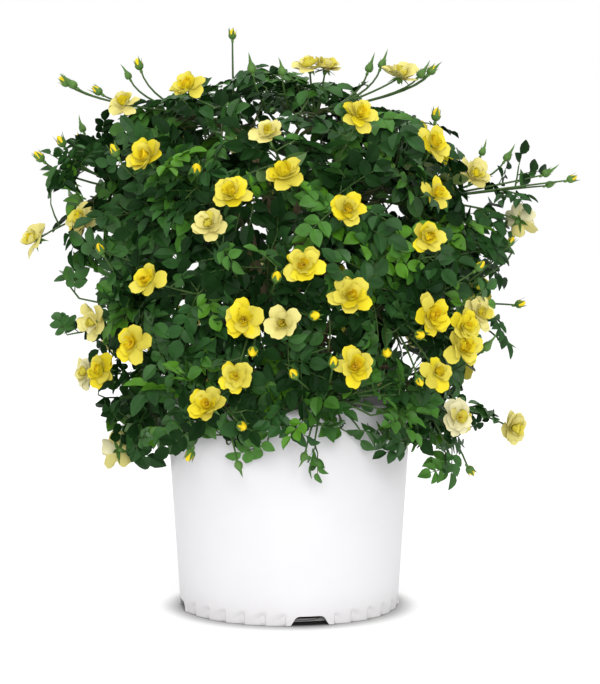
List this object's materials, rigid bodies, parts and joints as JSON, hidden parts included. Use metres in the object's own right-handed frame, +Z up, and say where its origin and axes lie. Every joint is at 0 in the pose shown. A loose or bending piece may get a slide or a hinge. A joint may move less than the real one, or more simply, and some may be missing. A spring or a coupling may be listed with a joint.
{
  "type": "potted rose bush",
  "caption": "Bushy landscape rose with yellow semi-double flowers and glossy green leaves, growing in a plain white nursery pot.",
  "frame": {"origin": "middle of the pot's flat underside, on the ground", "axes": "+Z up along the pot's axis; the front of the bush faces -Y and its widest spread is along X"},
  "size_m": [0.6205, 0.5262, 0.6589],
  "materials": {
    "pot_plastic": "satin",
    "potting_mix": "matte",
    "cane_bark": "matte",
    "leaf_green": "satin",
    "leaf_young": "satin",
    "shoot_green": "satin",
    "petal_yellow": "matte",
    "petal_cream": "matte",
    "petal_spent": "matte",
    "stamen_gold": "matte"
  },
  "bodies": {
    "root": {"pot": "pot_plastic", "root_ball": "potting_mix", "main_stem": "cane_bark", "cane_skirt_1": "cane_bark", "cane_skirt_2": "cane_bark", "cane_skirt_3": "cane_bark", "cane_skirt_4": "cane_bark", "cane_skirt_5": "cane_bark", "cane_skirt_6": "cane_bark", "cane_skirt_7": "cane_bark", "cane_waist_1": "cane_bark", "cane_waist_2": "cane_bark", "cane_waist_3": "cane_bark", "cane_waist_4": "cane_bark", "cane_waist_5": "cane_bark", "cane_waist_6": "cane_bark", "cane_waist_7": "cane_bark", "cane_shoulder_1": "cane_bark", "cane_shoulder_2": "cane_bark", "cane_shoulder_3": "cane_bark", "cane_shoulder_4": "cane_bark", "cane_shoulder_5": "cane_bark", "cane_shoulder_6": "cane_bark", "cane_top_1": "cane_bark", "cane_top_2": "cane_bark", "cane_top_3": "cane_bark", "cane_top_4": "cane_bark", "foliage_skirt_1": "leaf_green", "foliage_skirt_2": "leaf_green", "foliage_skirt_3": "leaf_green", "foliage_skirt_4": "leaf_green", "foliage_skirt_5": "leaf_green", "foliage_skirt_6": "leaf_green", "foliage_skirt_7": "leaf_green", "foliage_waist_1": "leaf_green", "foliage_waist_2": "leaf_green", "foliage_waist_3": "leaf_green", "foliage_waist_4": "leaf_green", "foliage_waist_5": "leaf_green", "foliage_waist_6": "leaf_green", "foliage_waist_7": "leaf_green", "foliage_shoulder_1": "leaf_green", "foliage_shoulder_2": "leaf_green", "foliage_shoulder_3": "leaf_green", "foliage_shoulder_4": "leaf_green", "foliage_shoulder_5": "leaf_green", "foliage_shoulder_6": "leaf_green", "foliage_top_1": "leaf_green", "foliage_top_2": "leaf_green", "foliage_top_3": "leaf_green", "foliage_top_4": "leaf_green"}
  },
  "joints": []
}
